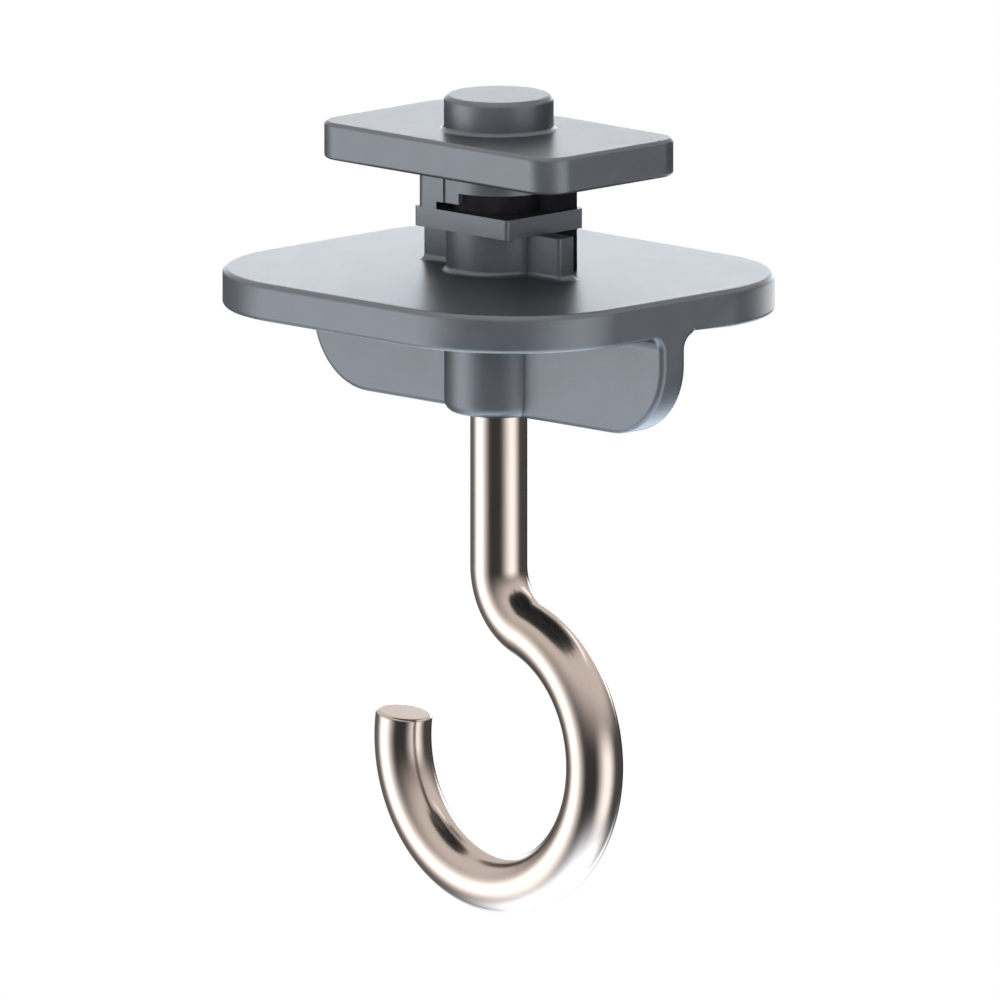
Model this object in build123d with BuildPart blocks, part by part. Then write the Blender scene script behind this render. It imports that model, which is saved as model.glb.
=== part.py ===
from build123d import *
from math import acos, degrees
import os

# Quarter-turn hook for a ceiling light track: a moulded adapter with a steel wire hook cast into it, and
# a black key in its neck.
# Millimetres, +Z up. The origin is on the turning axis, on the top face of the base plate, which is
# the face that comes up against the track. X runs along the locking plate, the grip fin and the
# plane of the hook.

# Base plate, which covers the slot of the track from below
base_x = 34.8
base_y = 31.9
base_t = 2.7
base_corner_r = 10.2
base_edge_r = 0.4

# Grip fin under the base plate, for turning the adapter by hand
fin_t = 2.4
fin_drop = 7.35
fin_corner_r = 5.3
fin_edge_r = 0.45
fin_root_r = 1.05

# Round boss in the middle of the fin, where the wire comes out
boss_d = 7.65
boss_edge_r = 0.85

# Neck between base plate and locking plate, which stands in the slot
lip_gap = 7.35
hub_d = 7.4
wing_x = 13.5
wing_t = 1.6
wing_end_r = 0.3
neck_foot_r = 0.45

# Collar round the neck, with a stop pillar on one corner and the key in the opposite one
collar_x = 9.2
collar_y = 7.65
collar_z = 3.05
collar_t = 1.4
collar_corner_r = 0.3
pillar_x = 2.9
pillar_corner_r = 1.0

# Groove between collar and locking plate
groove_d = 5.7
groove_mouth_d = 9.0
groove_mouth_x = 8.0
groove_x = 4.9
groove_h = 1.35
ring_h = 0.55

# Black key: a post beside one wing, and a ring that lines the groove
key_inner_x = 2.6
key_outer_x = 4.25
key_outer_y = 3.5
key_ring_d = 6.6
key_sink = 0.4

# Locking plate, which passes the slot and then lies across the lips of the track
plate_x = 23.5
plate_y = 13.6
plate_t = 2.65
plate_corner_r = 2.15
plate_edge_r = 0.3

# Stub on the locking plate, which encloses the head of the wire
stub_d = 7.7
stub_h = 2.45
stub_edge_r = 0.4
stub_foot_r = 0.35

# Steel wire hook
wire_d = 4.0
shank_drop = 21.0
crank_r = 4.5
bowl_r = 9.5
tip_rise = 10.0
tip_edge_r = 0.25
head_d = 6.0
head_t = 1.5
head_cover = 1.2

# Heights that follow from the sizes above
plate_z = lip_gap
stub_z = plate_z + plate_t
stub_top_z = stub_z + stub_h
head_top_z = stub_top_z - head_cover
fin_bottom_z = -base_t - fin_drop
fin_top_z = -base_t + base_edge_r
fin_root_z = -base_t - fin_root_r
fin_foot_y = fin_t + 2 * fin_root_r
collar_top_z = collar_z + collar_t
key_inner_y = wing_t / 2

# The crank turns the wire sideways until it is tangent to the bowl, whose centre is on the axis
crank_angle = degrees(acos(crank_r / (crank_r + bowl_r)))
bowl_angle = crank_angle + 180 + tip_rise

os.makedirs("parts", exist_ok=True)

# Steel wire hook: straight shank, crank and bowl in the XZ plane, with an upset head at the top
with BuildPart() as hook:
    with BuildLine(Plane.XZ) as wire_path:
        shank = Line((0, head_top_z), (0, -shank_drop))
        crank = JernArc(start=shank @ 1, tangent=shank % 1, radius=crank_r, arc_size=crank_angle)
        JernArc(start=crank @ 1, tangent=crank % 1, radius=bowl_r, arc_size=-bowl_angle)
    with BuildSketch(Plane(origin=(0, 0, head_top_z), z_dir=(0, 0, -1))):
        Circle(wire_d / 2)
    sweep(path=wire_path.wires()[0])
    tip_rim = hook.edges().filter_by(GeomType.CIRCLE).sort_by(Axis.X)[0]
    fillet(tip_rim, tip_edge_r)
    with BuildSketch(Plane.XY.offset(head_top_z - head_t)):
        Circle(head_d / 2)
    extrude(amount=head_t)

# Grip fin: a web that widens in a hollow fillet where it meets the base plate
with BuildPart() as grip_fin:
    with BuildSketch(Plane.YZ):
        with BuildLine():
            lower_edge = Line((0, fin_bottom_z), (fin_t / 2, fin_bottom_z))
            Line(lower_edge @ 1, (fin_t / 2, fin_root_z))
            root = CenterArc((fin_foot_y / 2, fin_root_z), fin_root_r, 180, -90)
            Polyline(root @ 1, (fin_foot_y / 2, fin_top_z), (0, fin_top_z))
            mirror(about=Plane.YZ)
        make_face()
    extrude(amount=base_x / 2, both=True)
    with BuildSketch(Plane.XZ) as fin_side:
        with Locations((0, fin_bottom_z)):
            Rectangle(base_x, fin_top_z - fin_bottom_z, align=(Align.CENTER, Align.MIN))
        fillet(fin_side.vertices().group_by(Axis.Y)[0], fin_corner_r)
    extrude(amount=base_y / 2, both=True, mode=Mode.INTERSECT)
    web_edges = grip_fin.faces().filter_by(Axis.Y).group_by(Axis.Z)[0].edges()
    fillet(web_edges - web_edges.group_by(Axis.Z)[-1], fin_edge_r)

# Groove above the collar: a low ring all round, higher in the two corners without a pillar
with BuildPart() as groove:
    with BuildSketch(Plane.XY.offset(collar_top_z)):
        Circle(groove_mouth_d / 2)
        Rectangle(groove_mouth_x, groove_mouth_d, mode=Mode.INTERSECT)
        Circle(groove_d / 2, mode=Mode.SUBTRACT)
    extrude(amount=ring_h)
    with BuildSketch(Plane.XY.offset(collar_top_z)):
        with Locations((collar_x / 2, key_inner_y)):
            Rectangle(groove_x, collar_y / 2 + key_inner_y, align=(Align.MAX, Align.MAX))
        with Locations((-collar_x / 2, 0)):
            Rectangle(groove_x, collar_y / 2, align=(Align.MIN, Align.MIN))
        Circle(groove_d / 2, mode=Mode.SUBTRACT)
    extrude(amount=groove_h)

# Black key, set into the moulding: the ring follows the groove, the post is let into both plates
with BuildPart() as key:
    with BuildSketch(Plane.XY.offset(collar_top_z)):
        Circle(key_ring_d / 2)
        Circle(groove_d / 2, mode=Mode.SUBTRACT)
    extrude(amount=groove_h)
    add(groove.part, mode=Mode.INTERSECT)
    with BuildSketch(Plane.XY.offset(-key_sink)):
        with Locations((key_inner_x, key_inner_y)):
            Rectangle(
                key_outer_x - key_inner_x, key_outer_y - key_inner_y, align=(Align.MIN, Align.MIN)
            )
    extrude(amount=plate_z + 2 * key_sink)

# Moulded adapter: base plate, fin, boss, neck, locking plate and stub in one piece
with BuildPart() as adapter_body:
    # Base plate with a rounded rim, above and below
    with BuildSketch(Plane.XY.offset(-base_t)):
        RectangleRounded(base_x, base_y, base_corner_r)
    extrude(amount=base_t)
    fillet(adapter_body.faces().filter_by(Axis.Z).edges(), base_edge_r)
    add(grip_fin.part)

    # Boss for the wire, level with the lower edge of the fin and rounded there
    with BuildSketch(Plane.XZ) as boss_half:
        with Locations((0, fin_bottom_z)):
            Rectangle(boss_d / 2, fin_drop, align=(Align.MIN, Align.MIN))
        fillet(boss_half.vertices().group_by(Axis.Y)[0].sort_by(Axis.X)[-1], boss_edge_r)
    revolve(axis=Axis.Z)

    # Lower neck: round hub with two wings, up to the collar
    with BuildSketch():
        Circle(hub_d / 2)
        RectangleRounded(wing_x, wing_t, wing_end_r)
    neck = extrude(amount=collar_z)
    fillet(adapter_body.edges().filter_by_position(Axis.Z, 0, 0) & neck.edges(), neck_foot_r)

    # Collar
    with BuildSketch(Plane.XY.offset(collar_z)):
        RectangleRounded(collar_x, collar_y, collar_corner_r)
    extrude(amount=collar_t)

    # Upper neck: hub, squared towards the stop pillar, which is flush with a corner of the collar
    with BuildSketch(Plane.XY.offset(collar_top_z)) as upper_neck:
        Circle(hub_d / 2)
        with Locations((-collar_x / 2, -collar_y / 2)):
            Rectangle(pillar_x, collar_y / 2, align=(Align.MIN, Align.MIN))
        with Locations((0, -hub_d / 2)):
            Rectangle(collar_x / 2 - pillar_x, hub_d / 2, align=(Align.MAX, Align.MIN))
        fillet(upper_neck.vertices().sort_by_distance((0, 0, 0))[-1], pillar_corner_r)
    extrude(amount=plate_z - collar_top_z)

    # Locking plate with rounded edges
    with BuildSketch(Plane.XY.offset(plate_z)):
        RectangleRounded(plate_x, plate_y, plate_corner_r)
    plate = extrude(amount=plate_t)
    fillet(plate.faces().filter_by(Axis.Z).edges() & adapter_body.edges(), plate_edge_r)

    # Stub over the head of the wire
    with BuildSketch(Plane.XY.offset(stub_z)):
        Circle(stub_d / 2)
    extrude(amount=stub_h)
    fillet(adapter_body.faces().sort_by(Axis.Z)[-1].edges(), stub_edge_r)
    plate_top_edges = adapter_body.edges().filter_by_position(Axis.Z, stub_z, stub_z)
    fillet(plate_top_edges.sort_by_distance((0, 0, stub_z))[0], stub_foot_r)

    # Groove, bed of the key, and bed of the wire, which the moulding closes round
    add(groove.part, mode=Mode.SUBTRACT)
    add(key.part, mode=Mode.SUBTRACT)
    add(hook.part, mode=Mode.SUBTRACT)

adapter_body.part.label = "adapter_body"
export_step(adapter_body.part, "parts/adapter_body.step")

key.part.label = "key"
export_step(key.part, "parts/key.step")

hook.part.label = "hook"
export_step(hook.part, "parts/hook.step")
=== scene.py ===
from math import acos, ceil, cos, pi, radians, sin, sqrt, tau
from typing import NamedTuple

import bmesh
import bpy
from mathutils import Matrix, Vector


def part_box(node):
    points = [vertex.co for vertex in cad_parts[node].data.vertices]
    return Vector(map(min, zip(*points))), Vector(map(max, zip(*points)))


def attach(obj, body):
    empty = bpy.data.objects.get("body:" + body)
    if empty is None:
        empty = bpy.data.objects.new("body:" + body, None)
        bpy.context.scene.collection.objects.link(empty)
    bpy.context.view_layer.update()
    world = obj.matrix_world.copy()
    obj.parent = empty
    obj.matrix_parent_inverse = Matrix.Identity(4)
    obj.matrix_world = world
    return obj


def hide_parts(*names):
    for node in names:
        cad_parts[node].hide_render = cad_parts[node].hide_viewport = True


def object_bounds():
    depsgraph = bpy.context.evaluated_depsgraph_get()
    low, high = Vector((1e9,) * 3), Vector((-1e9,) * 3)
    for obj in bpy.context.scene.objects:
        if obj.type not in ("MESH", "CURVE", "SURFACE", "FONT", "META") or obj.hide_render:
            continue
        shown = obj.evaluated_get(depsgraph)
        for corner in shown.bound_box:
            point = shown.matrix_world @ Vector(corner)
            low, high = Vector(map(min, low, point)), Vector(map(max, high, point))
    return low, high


bl_info = {
    "name": "Track Lighting Hook",
    "version": (1, 0, 0),
    "blender": (4, 5, 0),
    "location": "3D View > Sidebar > Track Hook",
    "description": "Finishes the adapter and the wire of a track lighting hook and sets up its studio",
    "category": "Object",
}

# Metres, +Z up, with the origin on the turning axis at the base plate's top face, as in the part's source.
# Bearings go round the axis, from the camera's side towards its right. Rises go up from level.

BODY = "root"
ADAPTER_NODE = "adapter_body"
KEY_NODE = "key"
HOOK_NODE = "hook"

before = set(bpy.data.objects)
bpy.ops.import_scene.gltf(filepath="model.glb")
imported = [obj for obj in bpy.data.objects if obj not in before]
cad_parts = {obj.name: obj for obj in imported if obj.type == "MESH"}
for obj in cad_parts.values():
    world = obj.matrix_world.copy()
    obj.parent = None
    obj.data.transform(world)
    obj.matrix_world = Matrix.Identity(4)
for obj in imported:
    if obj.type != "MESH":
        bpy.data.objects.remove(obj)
cad_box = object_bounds()
hook_low, hook_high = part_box(HOOK_NODE)

WIRE_D = 0.004

# Width of the picture at the object, from its pixels and its scale
PICTURE_PIXELS = 1000
PIXELS_PER_METRE = 14280
PICTURE_WIDTH = PICTURE_PIXELS / PIXELS_PER_METRE

# Fineness of the meshes, with the step of the panels in degrees
WIRE_SIDES = 96
SHANK_STEPS = 32
BEND_STEP = radians(1.5)
TIP_EDGE_STEPS = 8
FLOOR_SIDES = 96
PANEL_STEP = 2.0

# The moulded skin: seams up to this width are closed, and a stretch that turns less than this and covers
# more than this counts as flat
SEAM = 0.0000001
FLAT_TURN = radians(0.3)
FLAT_AREA = 0.000005

# Noise: the middle part of its range that is used, how fast its finer layers fade, and how many it has
NOISE_LOW = 0.3
NOISE_HIGH = 0.7
NOISE_FADE = 0.55
PLASTIC_LAYERS = 4.0
GRAIN_LAYERS = 2.0
PLATING_LAYERS = 3.0

# Refraction of the clear skin over the plastic
SKIN_IOR = 1.5

# Ray depth between a first mirror image and a mirror image of it
FIRST_IMAGE = 1.5

CAMERA_NEAR = 0.01
CAMERA_FAR = 10.0

# Colours of the panels and the lamps
WHITE = (1.0, 1.0, 1.0)
WARM = (1.0, 0.94, 0.905)
COOL = (0.85, 0.925, 1.0)
ICE = (0.80, 0.90, 1.0)
DARK = (0.038, 0.038, 0.038)


class StudioPanel(NamedTuple):
    """Piece of a sphere round the object, in degrees, with fades at its start, end, low and high edge."""

    name: str
    distance: float
    bearings: tuple
    rises: tuple
    fades: tuple
    tint: tuple
    strength: float
    echoes: bool = True


class StudioLamp(NamedTuple):
    """Soft lamp: its bearing in degrees, its distance from the axis, its height and its power in watts."""

    name: str
    bearing: float
    distance: float
    height: float
    power: float


# Light panels and dark flags. One that stands nearer covers those behind it.
PANELS = (
    StudioPanel(
        name="ceiling", distance=0.50, bearings=(-180, 180), rises=(-8, 90), fades=(0, 0, 0, 0),
        tint=WARM, strength=0.64,
    ),
    StudioPanel(
        name="high_flag", distance=0.495, bearings=(105, 165), rises=(40, 64), fades=(15, 15, 9, 9),
        tint=DARK, strength=3.5,
    ),
    StudioPanel(
        name="low_panel", distance=0.49, bearings=(-180, 180), rises=(-89, -25), fades=(0, 0, 0, 5),
        tint=ICE, strength=2.0, echoes=False,
    ),
    StudioPanel(
        name="back_panel", distance=0.48, bearings=(135, 222), rises=(-12, 14), fades=(25, 25, 2, 7),
        tint=COOL, strength=3.75,
    ),
    StudioPanel(
        name="back_flag", distance=0.47, bearings=(120, 240), rises=(-24, -1), fades=(20, 20, 6, 3),
        tint=DARK, strength=1.0,
    ),
    StudioPanel(
        name="right_back_flag", distance=0.46, bearings=(35, 152), rises=(-66, 26), fades=(40, 25, 34, 30),
        tint=DARK, strength=1.7,
    ),
    StudioPanel(
        name="left_back_flag", distance=0.45, bearings=(-180, -60), rises=(-68, 28), fades=(25, 40, 32, 34),
        tint=DARK, strength=3.4,
    ),
    StudioPanel(
        name="front_flag", distance=0.44, bearings=(-105, 90), rises=(-82, 44), fades=(50, 75, 50, 52),
        tint=DARK, strength=1.0,
    ),
    StudioPanel(
        name="left_panel", distance=0.42, bearings=(-129, -33), rises=(-58, 26), fades=(50, 50, 24, 36),
        tint=WHITE, strength=1.4,
    ),
    StudioPanel(
        name="left_core", distance=0.40, bearings=(-118, -62), rises=(-38, 4), fades=(35, 22, 20, 18),
        tint=WHITE, strength=1.8,
    ),
    StudioPanel(
        name="right_panel", distance=0.42, bearings=(5, 97), rises=(-58, 18), fades=(50, 41, 24, 27),
        tint=WHITE, strength=1.32,
    ),
    StudioPanel(
        name="edge_card", distance=0.028, bearings=(77, 140), rises=(-14, -1), fades=(33, 10, 2, 2),
        tint=WHITE, strength=1.6, echoes=False,
    ),
)

LAMPS = (
    StudioLamp(name="left_lamp", bearing=-80, distance=0.5, height=0.1, power=0.6),
    StudioLamp(name="front_lamp", bearing=-10, distance=0.5, height=0.0, power=3.3),
    StudioLamp(name="back_lamp", bearing=175, distance=0.5, height=0.1, power=3.0),
    StudioLamp(name="top_lamp", bearing=0, distance=0.0, height=0.6, power=2.0),
)


def length(name, description, default):
    """A size in metres."""
    return bpy.props.FloatProperty(
        name=name,
        description=description,
        default=default,
        min=0.0,
        precision=5,
        unit="LENGTH",
        subtype="DISTANCE",
    )


def angle(name, description, degrees):
    """An angle, written in degrees."""
    return bpy.props.FloatProperty(
        name=name, description=description, default=radians(degrees), subtype="ANGLE"
    )


def factor(name, description, default):
    """A share between none and all."""
    return bpy.props.FloatProperty(
        name=name, description=description, default=default, min=0.0, max=1.0, subtype="FACTOR"
    )


def level(name, description, default):
    """A brightness, where 1 is white."""
    return bpy.props.FloatProperty(name=name, description=description, default=default, min=0.0)


def colour(name, description, default):
    """A linear colour."""
    return bpy.props.FloatVectorProperty(
        name=name, description=description, default=default, size=3, min=0.0, max=1.0, subtype="COLOR"
    )


class WireSettings(bpy.types.PropertyGroup):
    """Sizes and finish of the bent wire."""

    wire_d: length("Wire", "Thickness of the wire", WIRE_D)
    shank_drop: length("Shank drop", "From the base plate's top face down to the crank", 0.021)
    crank_r: length("Crank radius", "Bend that leads from the shank to the bowl", 0.0045)
    bowl_r: length("Bowl radius", "Bend of the bowl", hook_high.x - WIRE_D / 2)
    tip_rise: angle("Tip rise", "How far the bowl goes on past its middle height", 10.0)
    tip_edge_r: length("Tip edge", "Rounding of the cut end", 0.00025)
    head_d: length("Head", "Upset head inside the stub", hook_high.y - hook_low.y)
    head_t: length("Head thickness", "Thickness of the upset head", 0.0015)
    bright: colour("Bright nickel", "Plating where it is polished most", (0.88, 0.765, 0.695))
    dull: colour("Dull nickel", "Plating between the drawing marks", (0.84, 0.73, 0.66))
    gloss: factor("Roughness", "Middle roughness of the plating", 0.2)
    gloss_spread: factor("Roughness spread", "How far the plating's roughness wanders to both sides", 0.02)
    mark: length("Mark width", "Spacing of the drawing marks across the wire", 1 / 5200)
    mark_stretch: factor("Mark stretch", "Width of a drawing mark against its length", 0.04)
    mark_depth: length("Mark depth", "Depth of the drawing marks", 0.0000002)
    haze: length("Haze size", "Spacing of the clouds of roughness", 1 / 260)


class AdapterSettings(bpy.types.PropertyGroup):
    """Finish of the moulded adapter."""

    pale: colour("Pale grey", "Lighter tone of the moulding", (0.19, 0.212, 0.243))
    deep: colour("Deep grey", "Darker tone of the moulding", (0.178, 0.199, 0.228))
    flake: factor("Metal pigment", "How much the metal pigment in the plastic shows", 0.84)
    gloss: factor("Roughness", "Middle roughness of the pigment", 0.42)
    gloss_spread: factor("Roughness spread", "How far the pigment's roughness wanders to both sides", 0.03)
    skin_gloss: factor("Skin roughness", "Roughness of the clear skin over the pigment", 0.34)
    cloud: length("Cloud size", "Spacing of the faint clouds of tone", 1 / 450)
    grain: length("Grain size", "Spacing of the spark-eroded grain", 0.00013)
    grain_depth: length("Grain depth", "Height of the grain", 0.000014)
    crease: angle("Crease", "Edges that turn more than this stay sharp", 40.0)


class KeySettings(bpy.types.PropertyGroup):
    """Finish of the key, whose black is painted shade: it stands in for the deep shade in the neck's
    groove.
    """

    # Painted shade: this black stands in for the deep shade in the neck's groove.
    black: colour("Black", "Darker tone of the key", (0.006, 0.006, 0.007))
    worn: colour("Worn black", "Lighter tone of the key", (0.012, 0.012, 0.014))
    gloss: factor("Roughness", "Middle roughness of the key", 0.6)
    gloss_spread: factor("Roughness spread", "How far the key's roughness wanders to both sides", 0.08)
    shine: factor("Shine", "Strength of the key's highlights", 0.1)
    cloud: length("Cloud size", "Spacing of the clouds of wear", 1 / 900)


class StageSettings(bpy.types.PropertyGroup):
    """Camera, panels, lamps and floor."""

    azimuth: angle("Azimuth", "Where the camera stands, from the front towards the right", 45.0)
    elevation: angle("Elevation", "How far the camera looks down", 9.9)
    view_distance: length("View distance", "From the camera to the axis", 0.3)
    view_width: length("View width", "Width of the picture at the object", PICTURE_WIDTH)
    view_side: length("View side", "Middle of the picture to the right of the axis", 0.000084)
    view_drop: length("View drop", "Middle of the picture below the base plate's top face", 0.01616)
    floor_drop: length("Floor drop", "Floor below the bowl", 0.48)
    floor_radius: length("Floor radius", "How far the floor reaches", 0.6)
    floor_paint: colour("Floor paint", "Colour of the floor", (0.86, 0.86, 0.86))
    floor_gloss: factor("Floor roughness", "Roughness of the floor", 0.9)
    floor_glow: level("Floor glow", "Light that makes the floor look white", 0.6)
    lamp_size: length("Lamp size", "Side of the square lamps", 0.4)
    ambient: level("Ambient", "Light from all round", 0.3)
    echo: factor("Echo", "Share of the panels' light that is left in mirror images of mirror images", 0.2)


def add_node(tree, kind, **inputs):
    """New node with some of its sockets set, each by its name in lower case."""
    node = tree.nodes.new(kind)
    for socket in node.inputs:
        key = socket.name.lower().replace(" ", "_")
        if key in inputs and socket.enabled:
            value = inputs[key]
            if isinstance(value, bpy.types.NodeSocket):
                tree.links.new(value, socket)
            else:
                socket.default_value = value
    return node


def empty_material(name):
    """Node material with nothing but its output."""
    material = bpy.data.materials.new(name)
    material.use_nodes = True
    material.node_tree.nodes.clear()
    return material, material.node_tree, material.node_tree.nodes.new("ShaderNodeOutputMaterial")


def noise(tree, vector, spacing, detail):
    """Noise value between 0 and 1 over a vector, with this space between its spots."""
    node = add_node(
        tree,
        "ShaderNodeTexNoise",
        vector=vector,
        scale=1.0 / spacing,
        detail=detail,
        roughness=NOISE_FADE,
    )
    return node.outputs["Fac"]


def ramp(tree, value, first, last):
    """Colour that goes from first to last with the middle part of a noise value."""
    node = add_node(tree, "ShaderNodeValToRGB", fac=value)
    node.color_ramp.elements[0].position = NOISE_LOW
    node.color_ramp.elements[0].color = (*first, 1.0)
    node.color_ramp.elements[1].position = NOISE_HIGH
    node.color_ramp.elements[1].color = (*last, 1.0)
    return node.outputs["Color"]


def wandering(tree, value, middle, spread):
    """Number that wanders round its middle with the middle part of a noise value."""
    node = add_node(
        tree,
        "ShaderNodeMapRange",
        value=value,
        from_min=NOISE_LOW,
        from_max=NOISE_HIGH,
        to_min=middle - spread,
        to_max=middle + spread,
    )
    return node.outputs["Result"]


def grey_plastic(settings):
    """Satin plastic with metal pigment: faint clouds of tone under a fine spark-eroded grain."""
    material, tree, output = empty_material("grey_plastic")
    place = tree.nodes.new("ShaderNodeTexCoord").outputs["Object"]
    clouds = noise(tree, place, settings.cloud, PLASTIC_LAYERS)
    grain = noise(tree, place, settings.grain, GRAIN_LAYERS)
    bump = add_node(tree, "ShaderNodeBump", strength=1.0, distance=settings.grain_depth, height=grain)
    skin = add_node(
        tree,
        "ShaderNodeBsdfPrincipled",
        base_color=ramp(tree, clouds, settings.deep, settings.pale),
        metallic=settings.flake,
        roughness=wandering(tree, clouds, settings.gloss, settings.gloss_spread),
        normal=bump.outputs["Normal"],
        coat_weight=1.0,
        coat_roughness=settings.skin_gloss,
        coat_ior=SKIN_IOR,
        coat_normal=bump.outputs["Normal"],
    )
    tree.links.new(skin.outputs["BSDF"], output.inputs["Surface"])
    return material


def flat_faces(shape):
    """Faces that belong to a level stretch large enough to be seen as flat."""
    flat = set()
    seen = set()
    for first in shape.faces:
        if first in seen:
            continue
        seen.add(first)
        stretch = []
        waiting = [first]
        while waiting:
            face = waiting.pop()
            stretch.append(face)
            for edge in face.edges:
                for other in edge.link_faces:
                    if other not in seen and first.normal.angle(other.normal, pi) < FLAT_TURN:
                        seen.add(other)
                        waiting.append(other)
        if sum(face.calc_area() for face in stretch) > FLAT_AREA:
            flat.update(stretch)
    return flat


def corner_normal(corner, flat, crease):
    """Normal at a corner: a flat face keeps its own, and a round one runs into the flat face beside it."""
    face = corner.face
    if face in flat:
        return face.normal.copy()
    turns = {other: face.normal.angle(other.normal, pi) for other in corner.vert.link_faces}
    near = [other for other in turns if turns[other] < crease] or [face]
    beside = [other for other in near if other in flat]
    if beside:
        return min(beside, key=turns.get).normal.copy()
    return sum((other.calc_area() * other.normal for other in near), Vector()).normalized()


def moulded_skin(name, node, crease):
    """Copy of a moulded node with closed seams, flat faces shaded flat and rounded edges shaded smooth."""
    shape = bmesh.new()
    shape.from_mesh(node.data)
    bmesh.ops.remove_doubles(shape, verts=shape.verts, dist=SEAM)
    shape.normal_update()
    flat = flat_faces(shape)
    normals = [corner_normal(corner, flat, crease) for face in shape.faces for corner in face.loops]
    for face in shape.faces:
        face.smooth = True
    mesh = bpy.data.meshes.new(name)
    shape.to_mesh(mesh)
    shape.free()
    mesh.normals_split_custom_set(normals)
    skin = bpy.data.objects.new(name, mesh)
    bpy.context.scene.collection.objects.link(skin)
    return skin


def black_plastic(settings):
    """Matt black plastic with faint clouds of wear; the black is painted shade for the deep groove in the
    neck.
    """
    material, tree, output = empty_material("black_plastic")
    place = tree.nodes.new("ShaderNodeTexCoord").outputs["Object"]
    clouds = noise(tree, place, settings.cloud, PLASTIC_LAYERS)
    skin = add_node(
        tree,
        "ShaderNodeBsdfPrincipled",
        base_color=ramp(tree, clouds, settings.black, settings.worn),
        roughness=wandering(tree, clouds, settings.gloss, settings.gloss_spread),
        specular_ior_level=settings.shine,
    )
    tree.links.new(skin.outputs["BSDF"], output.inputs["Surface"])
    return material


def nickel_plate(settings):
    """Bright plating that still shows the faint marks of the drawn wire."""
    material, tree, output = empty_material("nickel_plate")
    along = tree.nodes.new("ShaderNodeAttribute")
    along.attribute_name = "drawn"
    stretch = (1.0, 1.0, settings.mark_stretch)
    stretched = add_node(tree, "ShaderNodeMapping", vector=along.outputs["Vector"], scale=stretch)
    marks = noise(tree, stretched.outputs["Vector"], settings.mark, PLATING_LAYERS)
    haze = noise(tree, along.outputs["Vector"], settings.haze, PLATING_LAYERS)
    bump = add_node(tree, "ShaderNodeBump", strength=1.0, distance=settings.mark_depth, height=marks)
    plate = add_node(
        tree,
        "ShaderNodeBsdfPrincipled",
        base_color=ramp(tree, marks, settings.dull, settings.bright),
        metallic=1.0,
        roughness=wandering(tree, haze, settings.gloss, settings.gloss_spread),
        normal=bump.outputs["Normal"],
    )
    tree.links.new(plate.outputs["BSDF"], output.inputs["Surface"])
    return material


def wire_stations(settings):
    """Places along the wire from the head to the tip: centre, direction, radius and distance run."""
    wire_r = settings.wire_d / 2
    head_top = hook_high.z
    neck = head_top - settings.head_t
    crank_end = acos(settings.crank_r / (settings.crank_r + settings.bowl_r))
    drop = sqrt((settings.crank_r + settings.bowl_r) ** 2 - settings.crank_r**2)
    crank_centre = Vector((settings.crank_r, 0, -settings.shank_drop))
    bowl_centre = Vector((0, 0, -settings.shank_drop - drop))
    down = Vector((0, 0, -1))

    stations = []
    for z, radius in ((head_top, settings.head_d / 2), (neck, settings.head_d / 2), (neck, wire_r)):
        stations.append((Vector((0, 0, z)), down, radius, head_top - z))

    run = head_top + settings.shank_drop
    for i in range(1, SHANK_STEPS):
        travelled = settings.head_t + (run - settings.head_t) * i / SHANK_STEPS
        stations.append((Vector((0, 0, head_top - travelled)), down, wire_r, travelled))

    crank_steps = ceil(crank_end / BEND_STEP)
    for i in range(crank_steps + 1):
        turn = crank_end * i / crank_steps
        outward = Vector((-cos(turn), 0, -sin(turn)))
        heading = Vector((sin(turn), 0, -cos(turn)))
        travelled = run + settings.crank_r * turn
        stations.append((crank_centre + settings.crank_r * outward, heading, wire_r, travelled))

    run += settings.crank_r * crank_end
    bowl_end = -pi - settings.tip_rise + settings.tip_edge_r / settings.bowl_r
    bowl_steps = ceil((crank_end - bowl_end) / BEND_STEP)
    for i in range(1, bowl_steps + 1):
        turn = crank_end + (bowl_end - crank_end) * i / bowl_steps
        outward = Vector((cos(turn), 0, sin(turn)))
        heading = Vector((sin(turn), 0, -cos(turn)))
        travelled = run + settings.bowl_r * (crank_end - turn)
        stations.append((bowl_centre + settings.bowl_r * outward, heading, wire_r, travelled))

    centre, heading, wire_r, travelled = stations[-1]
    for i in range(1, TIP_EDGE_STEPS + 1):
        turn = pi / 2 * i / TIP_EDGE_STEPS
        ahead = settings.tip_edge_r * sin(turn)
        radius = wire_r - settings.tip_edge_r * (1 - cos(turn))
        stations.append((centre + ahead * heading, heading, radius, travelled + ahead))
    return stations


def sweep_wire(name, stations, sides):
    """Closed tube through the stations. Each point keeps its place on the straight wire as an attribute."""
    mesh = bpy.data.meshes.new(name)
    shape = bmesh.new()
    drawn = shape.verts.layers.float_vector.new("drawn")
    across = Vector((0, 1, 0))
    rings = []
    for centre, heading, radius, travelled in stations:
        inward = across.cross(heading)
        ring = []
        for i in range(sides):
            turn = tau * i / sides
            vertex = shape.verts.new(centre + radius * (cos(turn) * inward + sin(turn) * across))
            vertex[drawn] = (radius * cos(turn), radius * sin(turn), travelled)
            ring.append(vertex)
        rings.append(ring)
    for ring, following in zip(rings, rings[1:]):
        for i in range(sides):
            j = (i + 1) % sides
            shape.faces.new((ring[i], ring[j], following[j], following[i]))
    ends = (shape.faces.new(reversed(rings[0])), shape.faces.new(rings[-1]))
    bmesh.ops.recalc_face_normals(shape, faces=shape.faces)
    for face in shape.faces:
        face.smooth = face not in ends
    shape.to_mesh(mesh)
    shape.free()
    wire = bpy.data.objects.new(name, mesh)
    bpy.context.scene.collection.objects.link(wire)
    return wire


def math_node(tree, operation, first, second):
    """Result of one step of arithmetic on two values."""
    node = tree.nodes.new("ShaderNodeMath")
    node.operation = operation
    for socket, value in zip(node.inputs, (first, second)):
        if isinstance(value, bpy.types.NodeSocket):
            tree.links.new(value, socket)
        else:
            socket.default_value = value
    return node.outputs[0]


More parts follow.
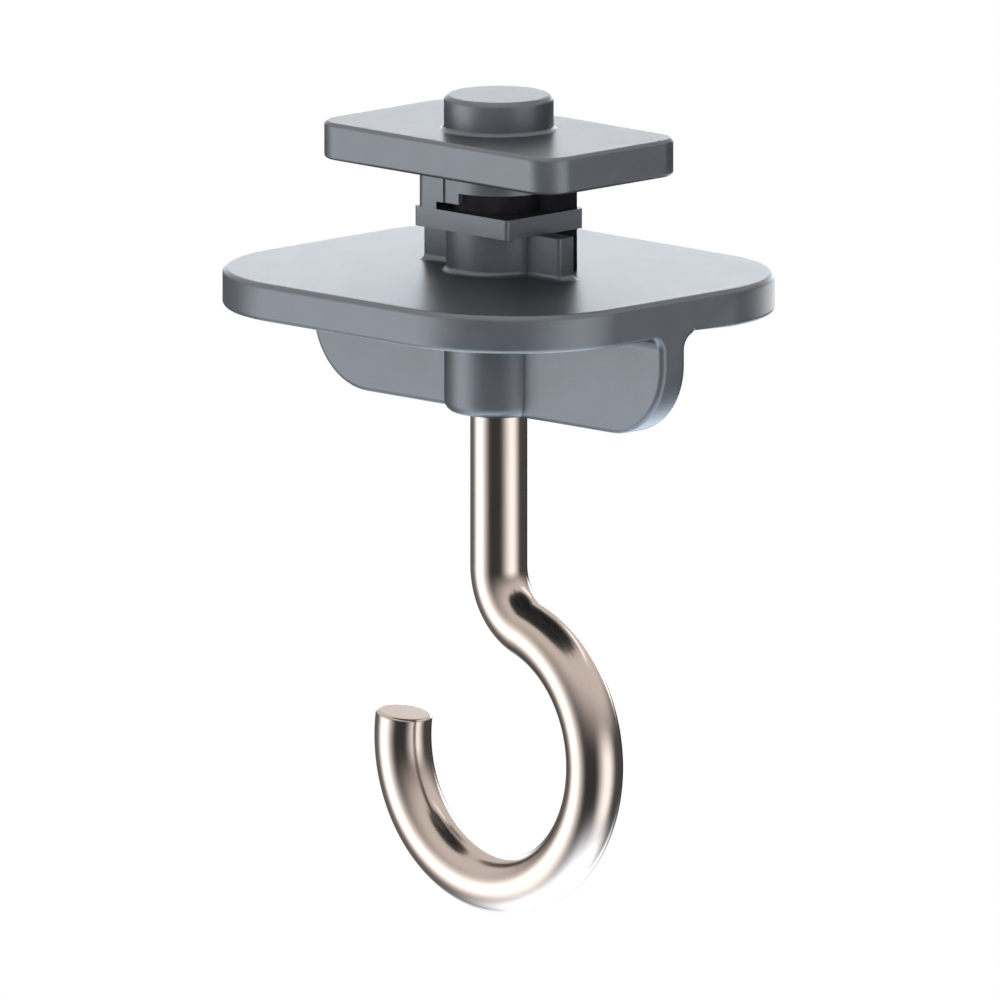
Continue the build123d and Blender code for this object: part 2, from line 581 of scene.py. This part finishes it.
def seen_directly(tree):
    """1 for rays from the camera and for their first mirror image or refraction, 0 for all others."""
    path = tree.nodes.new("ShaderNodeLightPath").outputs
    bent = math_node(tree, "MAXIMUM", path["Is Glossy Ray"], path["Is Transmission Ray"])
    seen = math_node(tree, "MAXIMUM", path["Is Camera Ray"], bent)
    early = math_node(tree, "LESS_THAN", path["Ray Depth"], FIRST_IMAGE)
    return math_node(tree, "MULTIPLY", seen, early)


def white_world(ambient):
    """White to the eye and to the wire, and a plain soft light from all round."""
    world = bpy.data.worlds.new("studio")
    world.use_nodes = True
    tree = world.node_tree
    tree.nodes.clear()
    strength = add_node(tree, "ShaderNodeMapRange", value=seen_directly(tree), to_min=ambient, to_max=1.0)
    shade = add_node(
        tree, "ShaderNodeBackground", color=(*WHITE, 1.0), strength=strength.outputs["Result"]
    )
    output = tree.nodes.new("ShaderNodeOutputWorld")
    tree.links.new(shade.outputs["Background"], output.inputs["Surface"])
    bpy.context.scene.world = world


def pale_floor(settings):
    """Wide pale floor that takes the shadow."""
    material, tree, output = empty_material("pale_floor")
    glow = add_node(
        tree, "ShaderNodeMapRange", value=seen_directly(tree), to_min=0.0, to_max=settings.floor_glow
    )
    paint = add_node(
        tree,
        "ShaderNodeBsdfPrincipled",
        base_color=(*settings.floor_paint, 1.0),
        roughness=settings.floor_gloss,
        emission_color=(*WHITE, 1.0),
        emission_strength=glow.outputs["Result"],
    )
    tree.links.new(paint.outputs["BSDF"], output.inputs["Surface"])
    z = cad_box[0].z - settings.floor_drop
    shape = bmesh.new()
    bmesh.ops.create_circle(shape, cap_ends=True, segments=FLOOR_SIDES, radius=settings.floor_radius)
    bmesh.ops.translate(shape, verts=shape.verts, vec=(0, 0, z))
    mesh = bpy.data.meshes.new("floor")
    shape.to_mesh(mesh)
    shape.free()
    floor = bpy.data.objects.new("floor", mesh)
    floor.data.materials.append(material)
    bpy.context.scene.collection.objects.link(floor)


def camera_axes(settings):
    """Right, up and back as the camera has them."""
    azimuth, elevation = settings.azimuth, settings.elevation
    right = Vector((cos(azimuth), sin(azimuth), 0))
    back = Vector((sin(azimuth) * cos(elevation), -cos(azimuth) * cos(elevation), sin(elevation)))
    return right, back.cross(right), back


def add_camera(settings):
    """Parallel view, as in the photograph."""
    right, up, back = camera_axes(settings)
    data = bpy.data.cameras.new("camera")
    data.type = "ORTHO"
    data.ortho_scale = settings.view_width
    camera = bpy.data.objects.new("camera", data)
    middle = settings.view_side * right - settings.view_drop * up
    camera.location = middle + settings.view_distance * back
    camera.rotation_euler = back.to_track_quat("Z", "Y").to_euler()
    data.clip_start = CAMERA_NEAR
    data.clip_end = CAMERA_FAR
    bpy.context.scene.collection.objects.link(camera)
    bpy.context.scene.camera = camera


def bearing(settings, turn):
    """Level direction from the axis, turned from the camera's side towards its right."""
    right, _, back = camera_axes(settings)
    front = Vector((back.x, back.y, 0)).normalized()
    return cos(turn) * front + sin(turn) * right


def faded(distance, fade):
    """Smooth step from 0 at an edge to 1 at the end of its fade."""
    share = min(distance / fade, 1.0) if fade else 1.0
    return share * share * (3 - 2 * share)


def soft_panel(settings, panel):
    """Panel that only mirrors see. Its edges fade into what is behind it."""
    material, tree, output = empty_material(panel.name)
    cover = tree.nodes.new("ShaderNodeAttribute")
    cover.attribute_name = "cover"
    echo = settings.echo if panel.echoes else 0.0
    power = add_node(
        tree,
        "ShaderNodeMapRange",
        value=seen_directly(tree),
        to_min=echo * panel.strength,
        to_max=panel.strength,
    )
    light = add_node(
        tree, "ShaderNodeEmission", color=(*panel.tint, 1.0), strength=power.outputs["Result"]
    )
    clear = tree.nodes.new("ShaderNodeBsdfTransparent")
    blend = add_node(tree, "ShaderNodeMixShader", fac=cover.outputs["Fac"])
    tree.links.new(clear.outputs["BSDF"], blend.inputs[1])
    tree.links.new(light.outputs["Emission"], blend.inputs[2])
    tree.links.new(blend.outputs["Shader"], output.inputs["Surface"])

    start, end = panel.bearings
    low, high = panel.rises
    start_fade, end_fade, low_fade, high_fade = panel.fades
    columns = ceil((end - start) / PANEL_STEP)
    rows = ceil((high - low) / PANEL_STEP)
    shape = bmesh.new()
    share = shape.verts.layers.float.new("cover")
    grid = []
    for j in range(rows + 1):
        rise = low + (high - low) * j / rows
        row = []
        for i in range(columns + 1):
            turn = start + (end - start) * i / columns
            direction = cos(radians(rise)) * bearing(settings, radians(turn))
            direction.z = sin(radians(rise))
            vertex = shape.verts.new(panel.distance * direction)
            sideways = faded(turn - start, start_fade) * faded(end - turn, end_fade)
            vertex[share] = sideways * faded(rise - low, low_fade) * faded(high - rise, high_fade)
            row.append(vertex)
        grid.append(row)
    for lower, upper in zip(grid, grid[1:]):
        for i in range(columns):
            shape.faces.new((lower[i], lower[i + 1], upper[i + 1], upper[i]))
    mesh = bpy.data.meshes.new(panel.name)
    shape.to_mesh(mesh)
    shape.free()
    screen = bpy.data.objects.new(panel.name, mesh)
    screen.data.materials.append(material)
    bpy.context.scene.collection.objects.link(screen)
    screen.visible_camera = False
    screen.visible_diffuse = False
    screen.visible_shadow = False


def soft_lamp(settings, lamp):
    """Square area lamp that looks at the object and lights it without a mirror image of its own."""
    data = bpy.data.lights.new(lamp.name, "AREA")
    data.size = settings.lamp_size
    data.energy = lamp.power
    data.color = WHITE
    place = lamp.distance * bearing(settings, radians(lamp.bearing)) + Vector((0, 0, lamp.height))
    light = bpy.data.objects.new(lamp.name, data)
    light.location = place
    light.rotation_euler = place.to_track_quat("Z", "Y").to_euler()
    light.visible_glossy = False
    bpy.context.scene.collection.objects.link(light)


class TRACKHOOK_OT_finish_adapter(bpy.types.Operator):
    """Give the key in the neck its matt black skin, painted as the deep shade in the neck's groove"""

    bl_idname = "track_hook.finish_adapter"
    bl_label = "Finish Adapter"

    def execute(self, context):
        settings = context.scene.track_hook_adapter
        adapter = moulded_skin("adapter_skin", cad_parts[ADAPTER_NODE], settings.crease)
        adapter.data.materials.append(grey_plastic(settings))
        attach(adapter, BODY)
        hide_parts(ADAPTER_NODE)
        return {"FINISHED"}


class TRACKHOOK_OT_finish_key(bpy.types.Operator):
    """Give the key in the neck its matt black skin"""

    bl_idname = "track_hook.finish_key"
    bl_label = "Finish Key"

    def execute(self, context):
        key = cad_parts[KEY_NODE]
        # Painted shade: the key is made black where the neck's groove lies in deep shade.
        key.data.materials.clear()
        key.data.materials.append(black_plastic(context.scene.track_hook_key))
        return {"FINISHED"}


class TRACKHOOK_OT_bend_wire(bpy.types.Operator):
    """Sweep the bright wire in place of the plain solid"""

    bl_idname = "track_hook.bend_wire"
    bl_label = "Bend Wire"

    def execute(self, context):
        settings = context.scene.track_hook_wire
        wire = sweep_wire("wire_hook", wire_stations(settings), WIRE_SIDES)
        wire.data.materials.append(nickel_plate(settings))
        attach(wire, BODY)
        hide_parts(HOOK_NODE)
        return {"FINISHED"}


class TRACKHOOK_OT_set_stage(bpy.types.Operator):
    """Set up the floor, the panels, the lamps and the camera"""

    bl_idname = "track_hook.set_stage"
    bl_label = "Set Stage"

    def execute(self, context):
        settings = context.scene.track_hook_stage
        context.scene.view_settings.view_transform = "Standard"
        white_world(settings.ambient)
        pale_floor(settings)
        add_camera(settings)
        for panel in PANELS:
            soft_panel(settings, panel)
        for lamp in LAMPS:
            soft_lamp(settings, lamp)
        return {"FINISHED"}


class TRACKHOOK_PT_sidebar(bpy.types.Panel):
    """Lists the steps and their settings"""

    bl_idname = "TRACKHOOK_PT_sidebar"
    bl_label = "Track Hook"
    bl_space_type = "VIEW_3D"
    bl_region_type = "UI"
    bl_category = "Track Hook"

    def draw(self, context):
        scene = context.scene
        steps = (
            (TRACKHOOK_OT_finish_adapter, scene.track_hook_adapter),
            (TRACKHOOK_OT_finish_key, scene.track_hook_key),
            (TRACKHOOK_OT_bend_wire, scene.track_hook_wire),
            (TRACKHOOK_OT_set_stage, scene.track_hook_stage),
        )
        for operator, settings in steps:
            box = self.layout.box()
            box.operator(operator.bl_idname)
            for name in settings.__annotations__:
                box.prop(settings, name)


CLASSES = (
    WireSettings,
    AdapterSettings,
    KeySettings,
    StageSettings,
    TRACKHOOK_OT_finish_adapter,
    TRACKHOOK_OT_finish_key,
    TRACKHOOK_OT_bend_wire,
    TRACKHOOK_OT_set_stage,
    TRACKHOOK_PT_sidebar,
)


def register():
    """Make the classes and the scene's settings known to Blender."""
    for cls in CLASSES:
        bpy.utils.register_class(cls)
    bpy.types.Scene.track_hook_wire = bpy.props.PointerProperty(type=WireSettings)
    bpy.types.Scene.track_hook_adapter = bpy.props.PointerProperty(type=AdapterSettings)
    bpy.types.Scene.track_hook_key = bpy.props.PointerProperty(type=KeySettings)
    bpy.types.Scene.track_hook_stage = bpy.props.PointerProperty(type=StageSettings)


def unregister():
    """Take the settings and the classes out again."""
    del bpy.types.Scene.track_hook_stage
    del bpy.types.Scene.track_hook_key
    del bpy.types.Scene.track_hook_adapter
    del bpy.types.Scene.track_hook_wire
    for cls in reversed(CLASSES):
        bpy.utils.unregister_class(cls)


def main():
    """Build the whole scene."""
    register()
    bpy.ops.track_hook.finish_adapter()
    bpy.ops.track_hook.finish_key()
    bpy.ops.track_hook.bend_wire()
    bpy.ops.track_hook.set_stage()


if __name__ == "__main__":
    main()
